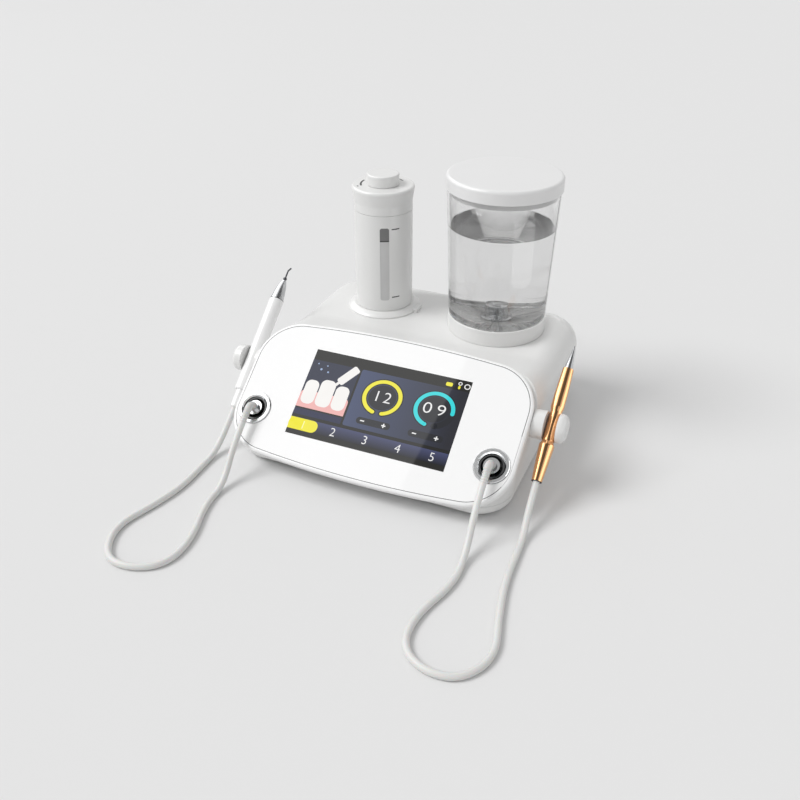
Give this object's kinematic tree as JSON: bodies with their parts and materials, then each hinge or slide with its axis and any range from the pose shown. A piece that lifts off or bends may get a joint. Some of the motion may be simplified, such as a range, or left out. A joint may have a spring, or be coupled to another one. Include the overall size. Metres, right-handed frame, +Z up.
{
  "type": "ultrasonic dental scaler",
  "caption": "Tabletop dental scaler and air polisher with a sloping glass touch panel, clear water bottle, powder chamber, and corded gold and white handpieces in side holders.",
  "frame": {"origin": "on the table, under the middle of the console with its holders", "axes": "+X to the right of someone facing the screen, +Y from the screen to the back, +Z up"},
  "size_m": [0.339, 0.4296, 0.24],
  "materials": {
    "white_shell": "smooth white, satin gloss",
    "white_panel": "white-printed glass, glossy",
    "clear_bottle": "clear, polished",
    "dark_plastic": "fine matt",
    "grey_plastic": "fine matt",
    "chrome_trim": "polished",
    "steel": "brushed",
    "gold_anodised": "polished gold anodising",
    "brass_pins": "bright",
    "black_rubber": "matt",
    "cord_skin": "soft satin",
    "screen": "glossy",
    "circuit_board": "solder mask"
  },
  "bodies": {
    "console": {"upper_housing": "white_shell", "lower_housing": "white_shell", "housing_screws": "steel", "rubber_feet": "black_rubber", "front_bezel": "white_shell", "cover_glass": "white_panel", "display_module": "screen", "display_bracket": "steel", "m3_screws": "steel", "main_board": "circuit_board", "ultrasonic_board": "circuit_board", "driver_transformer": "dark_plastic", "power_supply": "steel", "water_pump": "dark_plastic", "solenoid_valves": "dark_plastic", "air_regulator": "steel", "rear_plate": "grey_plastic", "power_inlet": "dark_plastic", "switch_frame": "dark_plastic", "pedal_socket": "dark_plastic", "air_inlet": "steel", "water_seat": "grey_plastic", "powder_seat": "white_shell", "port_ring_left": "chrome_trim", "port_ring_right": "chrome_trim", "port_socket_left": "dark_plastic", "port_socket_right": "dark_plastic", "cord_plug_left": "chrome_trim", "cord_plug_right": "chrome_trim", "cord_boot_left": "cord_skin", "cord_boot_right": "cord_skin", "cord_left": "cord_skin", "cord_right": "cord_skin", "holder_left": "white_shell", "holder_right": "white_shell", "holder_screws": "steel"},
    "water_bottle": {"bottle_collar": "white_shell", "bottle_seal": "black_rubber", "water_bottle": "clear_bottle", "bottle_valve": "grey_plastic", "valve_spring": "steel"},
    "bottle_valve_plunger": {"valve_plunger": "steel"},
    "bottle_cap": {"bottle_cap": "white_shell", "cap_gasket": "grey_plastic"},
    "powder_chamber": {"powder_chamber": "white_shell", "powder_window": "clear_bottle"},
    "powder_cap": {"powder_cap": "white_shell", "powder_seal": "black_rubber"},
    "pressure_knob": {"pressure_knob": "white_shell"},
    "scaler": {"scaler_body": "gold_anodised", "scaler_transducer": "steel", "scaler_nose": "steel"},
    "scaler_tip": {"scaler_tip": "steel"},
    "polisher": {"polisher_body": "white_shell", "polisher_tail": "grey_plastic", "polisher_cone": "steel"},
    "polisher_nozzle": {"polisher_nozzle": "steel"},
    "power_switch": {"power_switch": "dark_plastic"},
    "pump_rotor": {"pump_rotor": "grey_plastic"}
  },
  "joints": [
    {"name": "bottle_lift", "type": "slide", "parent": "console", "child": "water_bottle", "axis": [0, 0, 1], "range_m": [0, 0.06]},
    {"name": "valve_press", "type": "slide", "parent": "water_bottle", "child": "bottle_valve_plunger", "axis": [0, 0, 1], "range_m": [0, 0.003], "stiffness_N_per_m": 300, "springref_m": -0.004, "deforming": ["valve_spring"]},
    {"name": "cap_lift", "type": "slide", "parent": "water_bottle", "child": "bottle_cap", "axis": [0, 0, 1], "range_m": [0, 0.06]},
    {"name": "chamber_lift", "type": "slide", "parent": "console", "child": "powder_chamber", "axis": [0, 0, 1], "range_m": [0, 0.06]},
    {"name": "powder_cap_lift", "type": "slide", "parent": "powder_chamber", "child": "powder_cap", "axis": [0, 0, 1], "range_m": [0, 0.04]},
    {"name": "knob_turn", "type": "hinge", "parent": "powder_cap", "child": "pressure_knob", "pos_m": [-0.0605, 0.0706, 0.22], "axis": [0, 0, 1], "range_deg": [0, 270]},
    {"name": "scaler_lift", "type": "slide", "parent": "console", "child": "scaler", "axis": [0, -0.6293, 0.7771], "range_m": [0, 0.03]},
    {"name": "tip_turn", "type": "hinge", "parent": "scaler", "child": "scaler_tip", "pos_m": [0.152, -0.0497, 0.0636], "axis": [0, 0.7771, 0.6293], "continuous": true},
    {"name": "polisher_lift", "type": "slide", "parent": "console", "child": "polisher", "axis": [0, -0.6293, 0.7771], "range_m": [0, 0.03]},
    {"name": "nozzle_turn", "type": "hinge", "parent": "polisher", "child": "polisher_nozzle", "pos_m": [-0.1472, -0.0497, 0.0636], "axis": [0, 0.7771, 0.6293], "continuous": true},
    {"name": "switch_tilt", "type": "hinge", "parent": "console", "child": "power_switch", "pos_m": [-0.006, 0.1301, 0.042], "axis": [-1, 0, 0], "range_deg": [0, 14]},
    {"name": "rotor_spin", "type": "hinge", "parent": "console", "child": "pump_rotor", "pos_m": [0.072, 0.062, 0.02], "axis": [0, 0, 1], "continuous": true}
  ]
}
